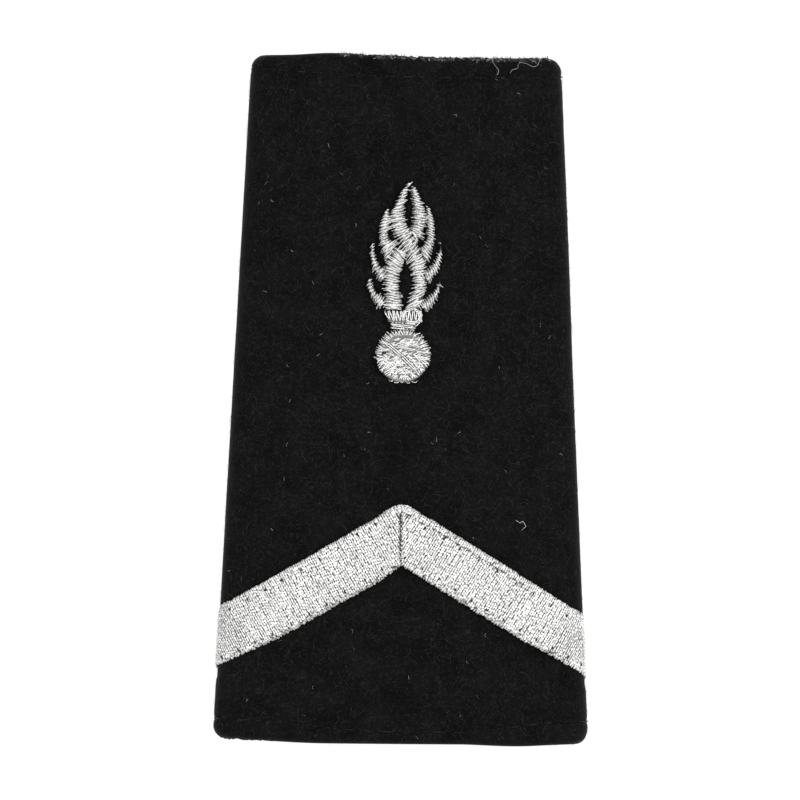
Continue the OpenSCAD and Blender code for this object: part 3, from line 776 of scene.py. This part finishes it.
def bar_runs(side, seed):
    """Threads square across a bar, from its upper to its lower edge, cut short at the seam and at the
    bar's end, and a rougher edging of short stitches along the lower edge."""
    rng = random.Random(seed)
    slope, sag, _, _ = bars[side]
    fall, tall = math.tan(slope), bar_w / math.cos(slope)
    across = (-math.sin(slope), -math.cos(slope))
    end_y = chevron_y - sag - fall * length_to(chevron_y, wrap) - tall / 2
    end = length_to(end_y, wrap)
    pitch, radius = 0.36 * MM, 0.26 * MM
    # How far in from its end, and how high, a thread comes out of the felt and bends over the bar's edge
    foot = [(-0.05 * MM, -0.3 * MM), (-0.03 * MM, 0.32 * MM), (0.1 * MM, 0.4 * MM)]

    def flush(s, up):
        """The threads sink into the cloth where the bar goes round the side fold."""
        share = past_fold(s)
        return up if up < -0.2 * MM else up * (1 - share) - 0.13 * MM * share

    runs, q = [], 0.0
    while q < end + bar_w * math.sin(slope):
        start = (q, chevron_y - sag * ease(q / sag_len) - fall * q)
        inside = []
        for i in range(-28, 110):
            r = i * 0.1 * MM
            s, y = start[0] + r * across[0], start[1] + r * across[1]
            upper, lower = bar_edges(side, s)
            if 0 <= s <= end and lower <= y <= upper:
                inside.append(r)
        q += pitch * math.cos(slope) * rng.uniform(0.95, 1.05)
        if len(inside) < 3:
            continue
        # The threads stand up at a bar's edges, where the padding is lower
        first = inside[0] + (0.08 if side > 0 else -0.04) * MM - rng.uniform(0.0, 0.07) * MM
        if start[0] + first * across[0] < 0.9 * MM:
            first += 0.3 * MM
        last = inside[-1] + rng.uniform(-0.04, 0.12) * MM
        at_seam = start[0] + inside[-1] * across[0] < 0.15 * MM
        if at_seam:
            last = inside[-1] + 0.24 * MM
        top = 0.8 * radius + rng.uniform(0.0, 0.1) * MM
        bend = (0.35 * MM, top + 0.06 * MM)
        line = [(first + far, up) for far, up in foot + [bend]]
        steps = max(1, round((last - first - 1.2 * MM) / (0.9 * MM)))
        for i in range(1, steps):
            line.append((first + 0.6 * MM + (last - first - 1.2 * MM) * i / steps, top))
        if at_seam:
            line += [(last - 0.08 * MM, top), (last + 0.02 * MM, 0.5 * top), (last + 0.06 * MM, -0.3 * MM)]
        else:
            line += [(last - far, up) for far, up in [bend] + foot[::-1]]
        points = []
        for r, up in line:
            s = start[0] + r * across[0]
            points.append((side * s, start[1] + r * across[1], flush(s, up)))
        slim = 1 - 0.2 * ease((start[0] - 26 * MM) / (4 * MM))
        runs.append((points, radius * slim * rng.uniform(0.93, 1.07)))
    if side < 0:
        # Threads that bend over the peak and hide the seam's upper end
        for k in range(4):
            depth, reach = (0.17 + 0.31 * k) * MM, (2.75 - 0.3 * k + rng.uniform(-0.1, 0.1)) * MM
            line = []
            for n in range(-9, 10):
                x, up = reach * n / 9, 0.25 * MM if abs(n) < 8 else 0.1 * MM
                drop = 0.61 * (math.hypot(x, 1.5 * MM) - 1.5 * MM) + 0.2 * MM * ease(abs(x) / (2.6 * MM))
                line.append((x, chevron_y - 0.37 * MM - drop - depth, up))
            line = [(line[0][0], line[0][1], -0.3 * MM)] + line + [(line[-1][0], line[-1][1], -0.3 * MM)]
            runs.append((line, 0.85 * radius))
    s = 0.25 * MM
    while s < end:
        lean = slope + rng.uniform(-0.35, 0.35)
        past = rng.uniform(0.05, 0.3) * MM
        line = []
        for r, up in ((0.85, -0.05), (0.6, 0.2), (0.15, 0.36), (0.0, 0.3), (-0.03, -0.3)):
            r = r * MM - past
            y = bar_edges(side, s)[1] + r * math.cos(lean)
            line.append((side * (s + r * math.sin(lean)), y, flush(s, up * MM)))
        runs.append((line, radius * rng.uniform(0.8, 1.0)))
        s += rng.uniform(0.26, 0.42) * MM
    return runs


def in_metres(line):
    """Points given in mm."""
    return [tuple(c * MM for c in point) for point in line]


def row_of_holes(first, step, count, radius):
    """Needle holes side by side, given in mm."""
    return in_metres((first[0] + step[0] * n, first[1] + step[1] * n, radius) for n in range(count))


# Short black stitches hold the bars down, in a row near each edge: side, which edge, first, pitch, count,
# and how far in from the edge near the middle and further out
holding_rng = random.Random(17)
holding_runs = []
for side, edge, first, pitch, count, near, far in (
    (-1, 0, 4.1, 2.93, 9, 0.75, 1.2),
    (-1, 1, 2.9, 2.9, 10, 1.1, 0.6),
    (1, 0, 0.75, 2.87, 10, 1.75, 1.65),
    (1, 1, 0.65, 2.6, 12, 1.15, 0.9),
):
    across = (-math.sin(bars[side][0]), -math.cos(bars[side][0]))
    for n in range(count):
        s = (first + pitch * n + holding_rng.uniform(-0.15, 0.15)) * MM
        inset = (near + (far - near) * ease(s, 6 * MM, 13 * MM)) * MM
        y = bar_edges(side, s)[edge] + (inset if edge else -inset)
        half_long = holding_rng.uniform(0.1, 0.17) * MM
        up = 0.49 - 0.38 * past_fold(s)
        line = []
        for share, lift in ((-1.2, -0.2), (-1.0, up), (1.0, up), (1.2, -0.2)):
            r = share * half_long
            line.append((side * (s + r * across[0]), y + r * across[1], lift * MM))
        holding_runs.append((line, holding_rng.uniform(0.15, 0.21) * MM))
# More join the bars down the middle: upper end, length, thickness
for top_y, long, radius in (
    (-18.1, 3.0, 0.09), (-18.5, 1.1, 0.2), (-21.0, 2.0, 0.11), (-23.2, 0.9, 0.13), (-24.9, 1.0, 0.07),
):
    line = [(-0.18, top_y + 0.05, -0.2), (-0.2, top_y, 0.62), (-0.2, top_y - long, 0.62)]
    line.append((-0.2, top_y - long - 0.05, -0.2))
    holding_runs.append((in_metres(line), radius * MM))
# One knot shows as a dot on the ball
knot = [(-3.16, 7.4, -0.2), (-3.1, 7.42, 0.62), (-2.86, 7.46, 0.62), (-2.8, 7.48, -0.2)]
holding_runs.append((in_metres(knot), 0.22 * MM))
# The needle left a ragged row of gaps inside both bars' lower edges, and the right bar's woven selvage
# shows as a row of small dots along its upper edge. Both are holes, pressed in and painted dark as the shade
# and felt in them
gaps = {-1: [], 1: []}
for n in range(40):
    s = (0.8 + 0.46 * n) * MM
    gaps[1].append((s, bar_edges(1, s)[0] - 1.2 * MM, 0.19 * MM))
for side in bars:
    s = 0.6 * MM
    while s < 30 * MM:
        y = bar_edges(side, s)[1] + holding_rng.uniform(0.02, 0.5) * MM
        gaps[side].append((side * s, y, holding_rng.uniform(0.08, 0.19) * MM))
        s += holding_rng.uniform(0.2, 0.6) * MM
for node, side, seed in (("chevron_left", -1, 11), ("chevron_right", 1, 12)):
    padding = drawn_in(node, side)
    piece = sewn(
        node + "_stitches", bar_runs(side, seed), silver_thread, padding, silver_gap_shade, gaps[side],
        Press=0.08 * MM, Step=0.155 * MM, Bead=0.56 * MM, Dip=0.3, Stray=0.135 * MM, Stray_size=0.65 * MM,
        Seed=float(seed),
    )
    bpy.data.objects.remove(padding)
    put_on(piece, node)
black_thread = thread_finish("black_thread", light=0.012, dark=0.006, fleck=0.3)
put_on(sewn("holding_stitches", holding_runs, black_thread, Stray=0.02 * MM, Step=0.1 * MM))


# Flames of the grenade: satin stitch over a domed padding. The threads lie across each tongue, level on
# its upright stretches and slanting where it leans, and their turning points stand out as small teeth.
def flat_place(point):
    """Length round the girth, place along the sleeve and height over the cloth of a point on the front."""
    x, y, z = point
    _, front_r, _ = section_at(y)
    up = z - (sleeve_h - front_r)
    return front_r * math.atan2(x, up), y, math.hypot(x, up) - front_r


def foot_edges(node):
    """Left and right edge of a flame's padding at each place along the sleeve, read from its CAD node."""
    rows = {}
    for vertex in nodes[node].data.vertices:
        s, y, out = flat_place(vertex.co)
        if out < pad_clear + 0.02 * MM:
            row = rows.setdefault(round(y / (0.01 * MM)), [y, s, s])
            row[1], row[2] = min(row[1], s), max(row[2], s)
    return [rows[key] for key in sorted(rows)]


def satin_runs(edges, slants, reaches, seed, tip, radius):
    """Strokes of thread across a shape between two edges, in mm. Slants gives their angle from level, in
    degrees, at places along the sleeve, and reaches how far they pass its left and right edge there. A low
    stroke runs right across, and shorter ones lie over it: from either edge, with their tips past it, and
    in the middle."""
    rng = random.Random(seed)
    pitch, ragged = 0.42, 0.13
    low_y, high_y = edges[0][0], edges[-1][0]

    def reach(middle, y, along, sign):
        r = 0.0
        while r < 4 * MM:
            s, t = middle + sign * r * along[0], y + sign * r * along[1]
            inside = read_table(edges, t, 1) <= s <= read_table(edges, t, 2)
            if not inside or not low_y - 0.1 * MM <= t <= high_y + 0.05 * MM:
                break
            r += 0.05 * MM
        return r

    runs, y, n = [], low_y + 0.06 * MM, 0
    while y < high_y - 0.05 * MM:
        angle = math.radians(read_table(slants, y / MM) + rng.uniform(-11, 11))
        middle = (read_table(edges, y, 1) + read_table(edges, y, 2)) / 2
        ahead = (read_table(edges, y + 0.5 * MM, 1) + read_table(edges, y + 0.5 * MM, 2)) / 2
        along = (math.cos(angle), math.sin(angle))
        climb = max(0.45, abs((ahead - middle) / (0.5 * MM) * along[1] - along[0]))
        left, right = -reach(middle, y, along, -1), reach(middle, y, along, 1)
        left -= read_table(reaches, (y + left * along[1]) / MM, 1) * MM
        right += read_table(reaches, (y + right * along[1]) / MM, 2) * MM
        wide, tip_len = right - left, max(0.02, rng.gauss(tip, ragged)) * MM
        up, kind = rng.uniform(0.1, 0.19) * MM, n % 4
        if kind == 0:
            left, right = left - tip_len, left + wide * rng.uniform(0.35, 0.7)
        elif kind == 1:
            up = -0.05 * MM
        elif kind == 2:
            left, right = right - wide * rng.uniform(0.35, 0.7), right + tip_len
        else:
            left, right = left + wide * rng.uniform(0.1, 0.35), right - wide * rng.uniform(0.1, 0.35)
        if right - left > 0.25 * MM:
            tip_up = min(up, 0.03 * MM)
            foot = [(-0.05 * MM, -0.35 * MM), (0, tip_up), (0.17 * MM, max(tip_up, 0.7 * up))]
            line = [(left + far, lift) for far, lift in foot]
            line += [(left + (right - left) * share, up) for share in (0.35, 0.65)]
            line += [(right - far, lift) for far, lift in foot[::-1]]
            if right - left < 0.5 * MM:
                del line[2], line[-3]
            points = [(middle + r * along[0], y + r * along[1], lift) for r, lift in line]
            runs.append((points, radius * MM * rng.uniform(0.85, 1.12)))
        y += 0.25 * pitch * MM * rng.uniform(0.7, 1.3) / climb
        n += 1
    return runs


def stitch(points, lift, radius, dive=0.3):
    """One stitch through flat points in mm, which dives into the felt at both ends."""
    (first_x, first_y), (last_x, last_y) = points[0], points[-1]
    line = [(first_x, first_y, -dive)]
    line += [(x, y, lift) for x, y in points[1:-1]]
    if len(points) == 2:
        for share in (0.12, 0.5, 0.88):
            line.append((first_x + (last_x - first_x) * share, first_y + (last_y - first_y) * share, lift))
    line.append((last_x, last_y, -dive))
    return in_metres(line), radius * MM


# For each flame: the strokes' angle from level, in degrees, at places along the sleeve. Then how far they
# pass the padding's edges, in mm: place, left, right. They close the gaps where a tongue joins its neighbour,
# and stop short where it thins out. Last, the ends of single stitches that fill such a gap.
flames = {
    "flame_over": (
        [(14.3, 28), (17, 26), (18.8, 12), (20.8, 22), (22.3, 38), (24.5, 48), (26.5, 36), (28.5, 16),
         (31, 22), (34, 30)],
        [(14.3, 0, 0), (16.3, 0.3, -0.1), (17.5, 0.35, -0.15), (18.8, -0.2, 0), (20, 0, 0.1),
         (21.4, 0.1, 0), (22, 0.5, 0.15), (23.3, 0.3, 0), (24.6, 0.5, -0.25), (26, 0.4, 0),
         (27.1, 0.35, 0.15), (27.6, 0.35, -0.35), (28.4, 0.25, -0.2), (29.1, 0.1, 0.05),
         (30.3, -0.2, -0.15), (31.6, -0.35, -0.2), (32.3, -0.2, -0.25), (34, -0.1, -0.1)],
        [],
    ),
    "flame_under_lower": (
        [(14.3, -4), (18.5, 0), (20.5, -8), (22.2, -34), (24.5, -46)],
        [(15, 0.1, -0.1), (16.3, 0.05, 0), (19.5, 0.3, -0.1), (21.4, 0.2, -0.2), (22, 0.2, -0.3),
         (22.7, 0.2, 0.3), (23.5, 0.1, 0.3)],
        [],
    ),
    "flame_under_upper": (
        [(24, -42), (26, -32), (28, -6), (30, 4), (32.5, -8), (34.5, 18)],
        [(24.6, 0, 0.3), (25.9, 0, 0.6), (26.5, 0, -0.1), (27.5, 0, -0.25), (28.4, 0, 0.2),
         (29.7, 0.1, 0.2), (30.3, 0.15, -0.1), (32.3, 0.05, -0.2), (33.5, 0.15, -0.2), (34.2, 0, -0.35)],
        [((1.3, 26.6), (2.3, 25.6)), ((1.6, 26.2), (2.3, 25.3)), ((1.2, 26.1), (2, 25.2)),
         ((1.8, 25.8), (2.15, 24.9))],
    ),
    "flamelet_left_upper": (
        [(22, 52), (24.5, 42), (26.5, 28), (30.5, 18)],
        [(23, 0.2, 0.4), (25.2, 0, 0.4), (25.7, -0.1, -0.6), (26.8, 0, -0.35), (27.2, -0.1, 0.35),
         (28.6, -0.1, 0.35), (29.7, -0.1, 0), (31, -0.2, -0.2)],
        [],
    ),
    "flamelet_left_middle": (
        [(18.8, 62), (21, 52), (24, 28), (25.5, 24)],
        [(18.8, 0.3, 0.35), (20.5, 0.3, 0.35), (21.4, 0, -0.3), (24, -0.15, -0.2), (25.5, -0.25, -0.25)],
        [((-3.9, 19.3), (-2.9, 20.3)), ((-3.6, 19), (-2.7, 19.8))],
    ),
    "flamelet_left_lower": (
        [(14.5, 68), (17, 60), (19.5, 42)],
        [(14, 0.4, 0.35), (15.6, 0.2, 0.5), (16.3, 0.3, 0.2), (17, 0, -0.3), (18, -0.2, -0.1),
         (20, -0.15, -0.15)],
        [((-4.3, 15.4), (-3.4, 16.4)), ((-4, 15.15), (-3.1, 16.2)), ((-3.65, 14.9), (-2.8, 15.9)),
         ((-3.3, 14.6), (-2.6, 15.4)), ((-3.9, 15.6), (-2.9, 15.5))],
    ),
    "flamelet_right_upper": (
        [(22, -58), (24.5, -32), (27, -14), (31, -24)],
        [(23.9, 0.3, 0.2), (24.6, -0.3, 0), (25.9, -0.25, -0.1), (27.1, -0.05, -0.2), (28.4, 0.15, -0.1),
         (29.7, 0, -0.1), (30.3, 0.1, -0.35), (31, -0.1, -0.3)],
        [],
    ),
    "flamelet_right_middle": (
        [(18.8, -74), (21, -55), (24, -18), (25.5, -10)],
        [(19, 0.35, 0.35), (20.5, 0.35, 0), (22, 0.1, -0.15), (23.3, -0.05, -0.15), (25.5, -0.15, -0.25)],
        [((2.4, 20.6), (3.2, 19.5)), ((2.3, 20.1), (2.9, 19.2))],
    ),
    "flamelet_right_lower": (
        [(14.2, -72), (17, -58), (19.5, -25)],
        [(14.5, 0.5, 0.3), (16, 0.35, 0), (17.5, -0.1, -0.2), (18.5, -0.1, -0.15), (19, -0.3, -0.3),
         (20, -0.4, -0.4)],
        [((2.4, 15.7), (3.2, 14.6)), ((2.3, 15.2), (2.9, 14.3)), ((2.9, 15.6), (3.7, 14.5)),
         ((2.6, 15.9), (3.5, 15))],
    ),
}
# Bright strands get painted shade down their sides, and the flames' low strands are painted darker as the
# shade of those over them; the padding between is painted dark as the shade in the gaps
bright = {"light": 1.0, "dark": 0.55, "mottle": 0.12, "gloss": 1.0}
flame_thread = thread_finish("flame_thread", fleck=0.12, shade=0.54, **bright)
flame_under = thread_finish("flame_under", light=0.14, dark=0.02, fleck=0.3, crest=(0.5, 0.95))
for seed, (node, (slants, reaches, fillers)) in enumerate(flames.items(), 30):
    tip, radius = (0.1, 0.1) if node.startswith("flamelet") else (0.16, 0.112)
    runs = satin_runs(foot_edges(node), slants, reaches, seed, tip, radius)
    runs += [stitch(ends, 0.12, 0.11) for ends in fillers]
    piece = sewn(
        node + "_stitches", runs, flame_thread, nodes[node], flame_under,
        Oval=0.7, Taper=0.55, Sunk=0.1 * MM, Stray=0.05 * MM, Stray_size=0.7 * MM, Seed=float(seed),
    )
    put_on(piece, node)


# Ball of the grenade: a raised ring of threads that point to its middle, round a filling of threads laid
# criss-cross, with a smooth band along its top and two long threads across it.
ball_y = 61.8 * MM - mouth_y
ball_r = 4.3 * MM
ball_rng = random.Random(61)


def chord(x, y, half, angle):
    """Both ends of a straight thread, from its middle, half its length and its angle."""
    dx, dy = half * math.cos(angle), half * math.sin(angle)
    return [(x - dx, y - dy), (x + dx, y + dy)]


def chord_runs(angle, pitch, reach, lift, low=-9.0, high=9.0):
    """Threads side by side at one angle across the ball's filling."""
    turn, offset, runs = math.radians(angle), max(low, -reach), []
    while offset < min(high, reach):
        half = math.sqrt(max(0, reach**2 - offset**2)) * ball_rng.uniform(0.85, 1.05)
        tilt = turn + math.radians(ball_rng.uniform(-7, 7))
        cx, cy = -offset * math.sin(turn), offset * math.cos(turn) + ball_y / MM
        if half > 0.5:
            runs.append(stitch(chord(cx, cy, half, tilt), lift + ball_rng.uniform(0, 0.07), 0.12, 0.0))
        offset += pitch * ball_rng.uniform(0.75, 1.3)
    return runs


# The criss-cross threads lie low, so their finish paints them with the shade of the threads over them
ball_runs = chord_runs(20, 0.26, 3.15, -0.07) + chord_runs(0, 0.22, 3.7, -0.08, 2.7, 3.6)
# Short threads over them, at one angle or the other by their place
for n in range(290):
    r, turn = 3.1 * math.sqrt(ball_rng.random()), ball_rng.uniform(0, 2 * math.pi)
    cx, cy = r * math.cos(turn), r * math.sin(turn)
    if cy > 0.9:
        lean = ball_rng.gauss(18, 14)
    elif cx > 0.3:
        lean = ball_rng.choice((8, 45, -40)) + ball_rng.gauss(0, 9)
    else:
        lean = ball_rng.choice((50, -35, 12)) + ball_rng.gauss(0, 9)
    ends = chord(cx, cy + ball_y / MM, ball_rng.uniform(0.25, 0.7), math.radians(lean))
    ball_runs.append(stitch(ends, ball_rng.uniform(0.02, 0.2), ball_rng.uniform(0.1, 0.125), 0.1))
ring_y = ball_y + 0.45 * MM
for layer in (0, 1):
    turn = 0.15 * layer
    while turn < 2 * math.pi + 0.1 * layer:
        on_top = abs((turn + math.pi) % (2 * math.pi) - math.pi) < 0.6
        inner = ball_rng.uniform(2.95, 3.2) if on_top else ball_rng.uniform(2.6, 3.4) - 0.2 * layer
        outer = 4.25 - 0.3 * math.cos(turn) ** 2 + (ball_rng.gauss(0.1, 0.13) if layer else -0.1)
        skew = ball_rng.uniform(-0.16, 0.16)
        line = []
        for r, lift in ((inner - 0.05, -0.1), (inner + 0.15, 0.08), ((inner + outer) / 2, 0.1),
                        (outer - 0.17, 0.08), (outer, 0.03), (outer + 0.05, -0.35)):
            at, up = turn + skew * (r - outer), (lift + 0.16 * layer - 0.12) * MM
            line.append((r * math.sin(at) * MM, r * math.cos(at) * MM + ring_y, up))
        ball_runs.append((line, ball_rng.uniform(0.1, 0.125) * MM))
        turn += (0.4 - 0.05 * layer) / (ball_r / MM) * ball_rng.uniform(0.75, 1.25)
# The two long threads, then loops of thread at the ball's foot
for shift in (-0.15, 0.15):
    x, y, inset = shift * 0.67, shift * 0.74, abs(shift)
    line = [(x - 2.75 - inset, y + 9.15), (x, y + 6.8), (x + 2.2 - inset, y + 4.78)]
    ball_runs.append(stitch(line, 0.45, 0.085, -0.25))
for x, y, w in ((-1.85, 3.3, 0.5), (-1.0, 3.05, 0.5), (-0.1, 3.15, 0.3), (0.9, 3.0, 0.4), (1.9, 3.15, 0.7)):
    line = [(x - w, y), (x - 0.5 * w, y - 0.33), (x + 0.3 * w, y - 0.36), (x + w, y + 0.08)]
    ball_runs.append(stitch(line, 0.08, 0.085))
ball_holes = in_metres([(-1.75, 9.3, 0.3), (-3.95, 8.95, 0.26), (1.6, 6.93, 0.18)])
ball_holes += row_of_holes((-1.3, 4.0), (0.3, 0.0), 9, 0.12)
ball_holes += row_of_holes((-1.45, 9.88), (0.41, 0.03), 8, 0.13)
ball_holes += row_of_holes((-1.25, 10.13), (0.43, 0.02), 7, 0.12)
# Grooves beside the long threads, pressed in and painted dark as their shade
for shift in (-0.34, 0.0, 0.34):
    ball_holes += row_of_holes((-2.2 + shift * 0.67, 8.65 + shift * 0.74), (0.115, -0.101), 34, 0.08)
# The ball's strands get painted shade down their sides and where they lie low; the padding between them is
# painted dark as the shade in the gaps and at its rims
ball_thread = thread_finish("ball_thread", fleck=0.15, shade=0.8, **bright)
ball_gap_shade = thread_finish("ball_gap_shade", light=0.3, dark=0.02, fleck=0.3, crest=(0.6, 0.97))
piece = sewn(
    "grenade_ball_stitches", ball_runs, ball_thread, nodes["grenade_ball"], ball_gap_shade, ball_holes,
    Oval=0.7, Taper=0.5, Sunk=0.1 * MM, Step=0.12 * MM, Stray=0.045 * MM, Stray_size=0.8 * MM, Seed=61.0,
)
put_on(piece, "grenade_ball")


# Collar between ball and flames: an upper row of upright stitches with a loop of thread round its right
# half, and a lower row of level threads over the neck.
collar_rng = random.Random(71)
collar_runs = []
y = 11.26
while y < 12.4:
    left, right = -2.1 + collar_rng.uniform(-0.12, 0.25), 1.95 + collar_rng.uniform(-0.25, 0.1)
    line = [(left, y + 0.22), (left + 0.3, y + 0.2), (0, y + 0.03)]
    line += [(right - 0.3, y - 0.14), (right, y - 0.15)]
    collar_runs.append(stitch(line, 0.14 + collar_rng.uniform(0, 0.08), 0.12))
    y += collar_rng.uniform(0.24, 0.34)
# Upright zigzag threads, spread like a fan on the left and level with the loop on the right
x, n, up_y = -2.72, 0, 14.3
while x < 2.75:
    lean = 0.75 if x < -1.6 else (0.35 if x < -0.4 else 0.05)
    zig = 0.09 if n % 2 else -0.09
    foot = 12.4 + 0.12 * collar_rng.random() + max(0, -x - 2.0) * 0.5
    if n % 2 == 0:
        up_y = 14.3 + collar_rng.uniform(-0.12, 0.1)
    line = [(x + lean * 0.6 - zig, foot), (x + lean * 0.45 - zig, foot + 0.2), (x + lean * 0.1, 13.4)]
    line += [(x - lean * 0.15 + zig, 14.05), (x - lean * 0.2 + zig, up_y)]
    collar_runs.append(stitch(line, 0.12 + collar_rng.uniform(0, 0.06), 0.12))
    x += collar_rng.uniform(0.26, 0.4)
    n += 1
# The loop has two turns of thread, the second one inside the first
for r in (0.0, 0.25):
    line = [
        (0.2 + r, 12.5 + r), (-0.1 + r, 12.85), (-0.28 + r, 13.4), (-0.1 + r, 13.95 - r * 0.5),
        (0.45, 14.35 - r), (1.2, 14.5 - r), (2.0, 14.42 - r), (2.65 - r * 0.7, 14.15 - r * 0.7),
        (2.95 - r, 13.6), (2.75 - r, 12.95), (2.35 - r, 12.35 + r * 0.4), (1.75, 12.2 + r),
        (1.1, 12.22 + r), (0.6, 12.4 + r), (0.4 + r, 12.6 + r),
    ]
    collar_runs.append(stitch(line, 0.34 - 0.2 * r, 0.125, 0.0))
collar_runs.append(stitch([(2.95, 13.6), (2.85, 12.8), (2.5, 12.2), (2.1, 11.85), (1.7, 11.6)], 0.24, 0.12))
collar_runs.append(stitch([(2.7, 12.95), (2.95, 12.75), (3.0, 12.4), (2.75, 12.25)], 0.12, 0.08))
collar_holes = row_of_holes((-1.9, 12.42), (0.52, -0.03), 5, 0.2)
piece = sewn(
    "grenade_collar_stitches", collar_runs, ball_thread, nodes["grenade_collar"], ball_gap_shade, collar_holes,
    Oval=0.7, Taper=0.35, Sunk=0.1 * MM, Stray=0.035 * MM, Stray_size=0.8 * MM, Seed=71.0,
)
put_on(piece, "grenade_collar")


# The blank that the sleeve is cut to: its girth at the wide mouth, by its length with both turned-in hems.
# It tapers, so its area is less than that of the rectangle.
blank = (2 * half_girth(-mouth_y), sleeve_len + 2 * hem_depth)
blank_area = 2 * half_girth(0) * sleeve_len + 2 * (half_girth(mouth_y) + half_girth(-mouth_y)) * hem_depth
pieces[1:]


# Plain pale table, soft light from all sides with a little more from the right, and a long lens
# straight above the sleeve.
def table_finish():
    material, bench, shader = finish_bench("pale_table", roughness=0.9, specular=0.1)
    shader.inputs["Base Color"].default_value = (0.15, 0.15, 0.15, 1)
    shader.inputs["Emission Color"].default_value = (1, 1, 1, 1)
    shader.inputs["Emission Strength"].default_value = 0.9
    return material


half_table = 3.0
table_mesh = bpy.data.meshes.new("table")
corners = [(x * half_table, y * half_table, 0) for x, y in ((-1, -1), (1, -1), (1, 1), (-1, 1))]
table_mesh.from_pydata(corners, [], [(0, 1, 2, 3)])
table_mesh.materials.append(table_finish())
placed("table", table_mesh)

world = bpy.data.worlds.new("studio")
world.use_nodes = True
world.node_tree.nodes["Background"].inputs["Color"].default_value = (1, 1, 1, 1)
world.node_tree.nodes["Background"].inputs["Strength"].default_value = 1.0
bpy.context.scene.world = world


def soft_box(name, place, size, watts):
    """A square light that faces the sleeve."""
    lamp = bpy.data.lights.new(name, "AREA")
    lamp.energy = watts
    lamp.size = size
    holder = placed(name, lamp)
    holder.location = place
    holder.rotation_euler = (-holder.location).to_track_quat("-Z", "Y").to_euler()


soft_box("light_right", (0.55, 0.1, 0.7), 0.35, 4.2)
soft_box("light_left", (-0.55, 0.1, 0.7), 0.5, 1.6)

# The photograph is 800 pixels square, and shows the sleeve's middle at this pixel, this size, turned
# slightly clockwise.
frame_px = 800
middle_px = (402.64, 399.75)
px_size = 0.15988 * MM
turned = math.radians(0.46)
lens_mm = 500
camera_data = bpy.data.cameras.new("camera")
camera_data.lens = lens_mm
camera_data.sensor_width = 36
view_w = frame_px * px_size
height = view_w * lens_mm / camera_data.sensor_width
camera_data.clip_start = 0.05
camera_data.clip_end = 20
camera = placed("camera", camera_data)
off_x = (frame_px / 2 - middle_px[0]) * px_size
off_y = (middle_px[1] - frame_px / 2) * px_size
camera.location = (
    off_x * math.cos(turned) - off_y * math.sin(turned),
    off_x * math.sin(turned) + off_y * math.cos(turned),
    height + 6 * MM,
)
camera.rotation_euler = (0, 0, turned)
bpy.context.scene.camera = camera
bpy.context.scene.view_settings.view_transform = "Standard"
